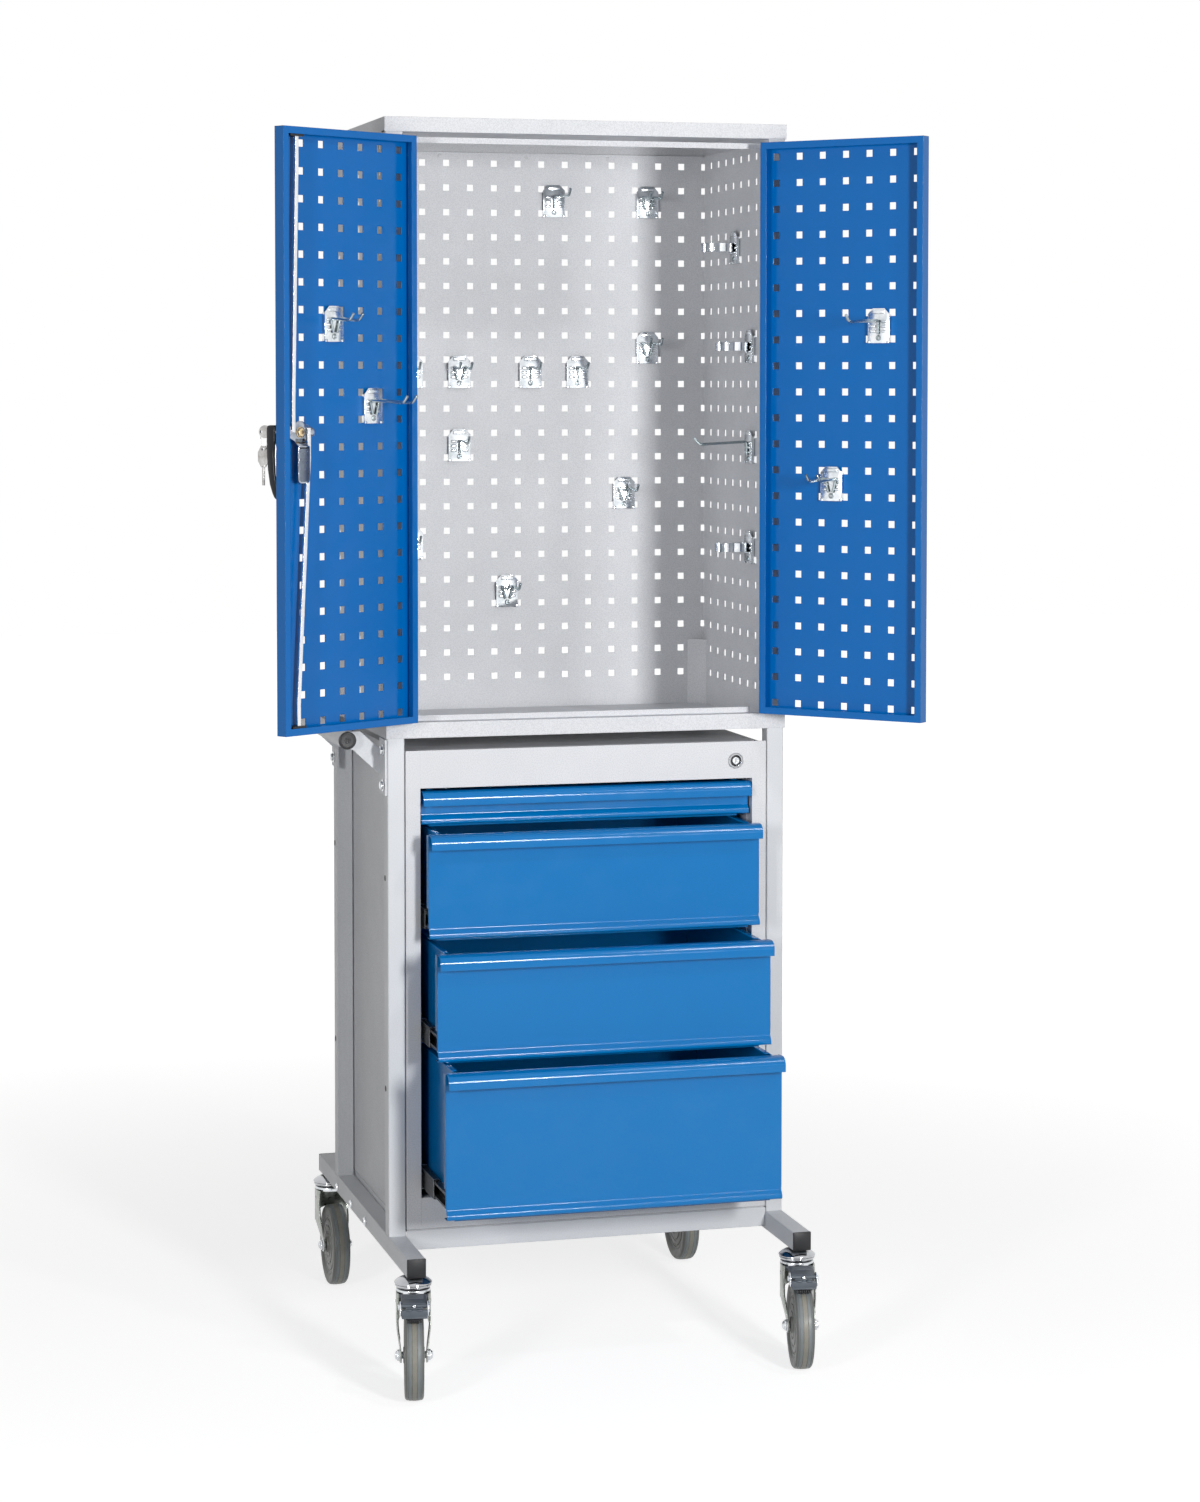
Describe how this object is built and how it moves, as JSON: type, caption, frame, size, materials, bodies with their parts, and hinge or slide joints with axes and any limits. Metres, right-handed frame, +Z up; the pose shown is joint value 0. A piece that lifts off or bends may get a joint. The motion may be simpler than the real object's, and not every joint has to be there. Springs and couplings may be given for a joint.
{
  "type": "tool cabinet with doors",
  "caption": "Perforated tool locker with two hinged doors over a chest of drawers, in a square-tube frame on swivel casters with a push handle at its side.",
  "frame": {"origin": "on the floor under the centre of the overall box with the doors open and the lower drawers pulled out as modelled", "axes": "+Z up, the front faces -Y, +X to the right seen from the front"},
  "size_m": [0.9414, 0.7738, 1.803],
  "materials": {
    "frame_paint": "light grey powder coat",
    "panel_paint": "light grey powder coat",
    "blue_paint": "gentian blue powder coat",
    "black_plastic": "black moulded plastic",
    "grey_plastic": "grey moulded plastic",
    "zinc": "bright zinc plate",
    "chrome": "polished",
    "black_steel": "black coated slides",
    "tyre_rubber": "grey rubber tread",
    "hub_plastic": "light grey wheel body"
  },
  "bodies": {
    "cabinet": {"foot_tubes": "frame_paint", "uprights": "frame_paint", "tube_end_caps": "black_plastic", "cross_rails": "frame_paint", "handle_tube": "frame_paint", "handle_brackets": "frame_paint", "drawer_unit_shell": "panel_paint", "drawer_unit_face": "panel_paint", "top_cover": "panel_paint", "floor_tray": "panel_paint", "right_side_wall": "panel_paint", "left_side_wall": "panel_paint", "back_wall": "panel_paint", "corner_cover": "panel_paint", "wall_holders": "zinc", "drawer_lock_housing": "zinc", "frame_hinge_leaves": "panel_paint", "slide_outer_members": "black_steel", "caster_raceways": "chrome"},
    "left_door": {"left_door_panel": "blue_paint", "left_door_hinge_leaves": "blue_paint", "left_door_holders": "zinc", "lock_rosette": "chrome", "rod_guides": "black_plastic"},
    "right_door": {"right_door_panel": "blue_paint", "right_door_hinge_leaves": "blue_paint", "right_door_holders": "zinc"},
    "lock_handle": {"lock_lever": "black_plastic", "lock_cam": "zinc"},
    "key": {"lock_key": "zinc"},
    "upper_rod": {"upper_lock_rod": "zinc"},
    "lower_rod": {"lower_lock_rod": "zinc"},
    "drawer_lock": {"drawer_lock_plug": "zinc"},
    "drawer_1_body": {"drawer_1": "blue_paint", "slide_inner_1": "black_steel"},
    "slide_1_middle": {"slide_middle_1": "black_steel"},
    "drawer_2_body": {"drawer_2": "blue_paint", "slide_inner_2": "black_steel"},
    "slide_2_middle": {"slide_middle_2": "black_steel"},
    "drawer_3_body": {"drawer_3": "blue_paint", "slide_inner_3": "black_steel"},
    "slide_3_middle": {"slide_middle_3": "black_steel"},
    "drawer_4_body": {"drawer_4": "blue_paint", "slide_inner_4": "black_steel"},
    "slide_4_middle": {"slide_middle_4": "black_steel"},
    "swivel_front_left": {"fork_front_left": "zinc"},
    "wheel_front_left": {"tyre_front_left": "tyre_rubber", "hub_front_left": "hub_plastic"},
    "brake_front_left": {"brake_pedal_front_left": "grey_plastic"},
    "swivel_front_right": {"fork_front_right": "zinc"},
    "wheel_front_right": {"tyre_front_right": "tyre_rubber", "hub_front_right": "hub_plastic"},
    "brake_front_right": {"brake_pedal_front_right": "grey_plastic"},
    "swivel_rear_left": {"fork_rear_left": "zinc"},
    "wheel_rear_left": {"tyre_rear_left": "tyre_rubber", "hub_rear_left": "hub_plastic"},
    "swivel_rear_right": {"fork_rear_right": "zinc"},
    "wheel_rear_right": {"tyre_rear_right": "tyre_rubber", "hub_rear_right": "hub_plastic"}
  },
  "joints": [
    {"name": "left_door_hinge", "type": "hinge", "parent": "cabinet", "child": "left_door", "pos_m": [-0.24062, -0.16112, 1.35725], "axis": [0, 0, 1], "range_deg": [-20, 146.95]},
    {"name": "right_door_hinge", "type": "hinge", "parent": "cabinet", "child": "right_door", "pos_m": [0.29238, -0.16112, 1.35725], "axis": [0, 0, 1], "range_deg": [-132.4, 30]},
    {"name": "lock_turn", "type": "hinge", "parent": "left_door", "child": "lock_handle", "pos_m": [-0.43173, -0.28547, 1.35725], "axis": [0.5454, -0.8382, 0], "range_deg": [-90, 0]},
    {"name": "key_turn", "type": "hinge", "parent": "lock_handle", "child": "key", "pos_m": [-0.459, -0.24356, 1.35725], "axis": [0.5454, -0.8382, 0], "range_deg": [-90, 0]},
    {"name": "upper_rod_slide", "type": "slide", "parent": "left_door", "child": "upper_rod", "axis": [0, 0, 1], "range_m": [0, 0.0145]},
    {"name": "lower_rod_slide", "type": "slide", "parent": "left_door", "child": "lower_rod", "axis": [0, 0, -1], "range_m": [0, 0.0145]},
    {"name": "drawer_lock_turn", "type": "hinge", "parent": "cabinet", "child": "drawer_lock", "pos_m": [0.25078, -0.15712, 0.8687], "axis": [0, -1, 0], "range_deg": [0, 90]},
    {"name": "drawer_1_slide", "type": "slide", "parent": "cabinet", "child": "drawer_1_body", "axis": [0, -1, 0], "range_m": [0, 0.35]},
    {"name": "slide_1_middle_run", "type": "slide", "parent": "cabinet", "child": "slide_1_middle", "axis": [0, -1, 0], "range_m": [0, 0.175]},
    {"name": "drawer_2_slide", "type": "slide", "parent": "cabinet", "child": "drawer_2_body", "axis": [0, -1, 0], "range_m": [-0.054, 0.296]},
    {"name": "slide_2_middle_run", "type": "slide", "parent": "cabinet", "child": "slide_2_middle", "axis": [0, -1, 0], "range_m": [-0.027, 0.148]},
    {"name": "drawer_3_slide", "type": "slide", "parent": "cabinet", "child": "drawer_3_body", "axis": [0, -1, 0], "range_m": [-0.109, 0.241]},
    {"name": "slide_3_middle_run", "type": "slide", "parent": "cabinet", "child": "slide_3_middle", "axis": [0, -1, 0], "range_m": [-0.0545, 0.1205]},
    {"name": "drawer_4_slide", "type": "slide", "parent": "cabinet", "child": "drawer_4_body", "axis": [0, -1, 0], "range_m": [-0.161, 0.189]},
    {"name": "slide_4_middle_run", "type": "slide", "parent": "cabinet", "child": "slide_4_middle", "axis": [0, -1, 0], "range_m": [-0.0805, 0.0945]},
    {"name": "swivel_front_left_turn", "type": "hinge", "parent": "cabinet", "child": "swivel_front_left", "pos_m": [-0.26012, -0.26412, 0.1487], "axis": [0, 0, 1], "continuous": true},
    {"name": "wheel_front_left_roll", "type": "hinge", "parent": "swivel_front_left", "child": "wheel_front_left", "pos_m": [-0.26775, -0.30339, 0.0625], "axis": [0.9816, -0.1908, 0], "continuous": true},
    {"name": "brake_front_left_press", "type": "hinge", "parent": "swivel_front_left", "child": "brake_front_left", "pos_m": [-0.26337, -0.28081, 0.139], "axis": [0.9816, -0.1908, 0], "range_deg": [0, 4]},
    {"name": "swivel_front_right_turn", "type": "hinge", "parent": "cabinet", "child": "swivel_front_right", "pos_m": [0.31188, -0.26412, 0.1487], "axis": [0, 0, 1], "continuous": true},
    {"name": "wheel_front_right_roll", "type": "hinge", "parent": "swivel_front_right", "child": "wheel_front_right", "pos_m": [0.30425, -0.30339, 0.0625], "axis": [0.9816, -0.1908, 0], "continuous": true},
    {"name": "brake_front_right_press", "type": "hinge", "parent": "swivel_front_right", "child": "brake_front_right", "pos_m": [0.30863, -0.28081, 0.139], "axis": [0.9816, -0.1908, 0], "range_deg": [0, 4]},
    {"name": "swivel_rear_left_turn", "type": "hinge", "parent": "cabinet", "child": "swivel_rear_left", "pos_m": [-0.26012, 0.35988, 0.1487], "axis": [0, 0, 1], "continuous": true},
    {"name": "wheel_rear_left_roll", "type": "hinge", "parent": "swivel_rear_left", "child": "wheel_rear_left", "pos_m": [-0.26012, 0.31988, 0.0625], "axis": [1, 0, 0], "continuous": true},
    {"name": "swivel_rear_right_turn", "type": "hinge", "parent": "cabinet", "child": "swivel_rear_right", "pos_m": [0.31188, 0.35988, 0.1487], "axis": [0, 0, 1], "continuous": true},
    {"name": "wheel_rear_right_roll", "type": "hinge", "parent": "swivel_rear_right", "child": "wheel_rear_right", "pos_m": [0.31188, 0.31988, 0.0625], "axis": [1, 0, 0], "continuous": true}
  ],
  "couplings": [
    {"joint": "upper_rod_slide", "follows": "lock_turn", "m_per_rad": -0.0092301},
    {"joint": "lower_rod_slide", "follows": "lock_turn", "m_per_rad": -0.0092301},
    {"joint": "slide_1_middle_run", "follows": "drawer_1_slide", "ratio": 0.5},
    {"joint": "slide_2_middle_run", "follows": "drawer_2_slide", "ratio": 0.5},
    {"joint": "slide_3_middle_run", "follows": "drawer_3_slide", "ratio": 0.5},
    {"joint": "slide_4_middle_run", "follows": "drawer_4_slide", "ratio": 0.5}
  ]
}
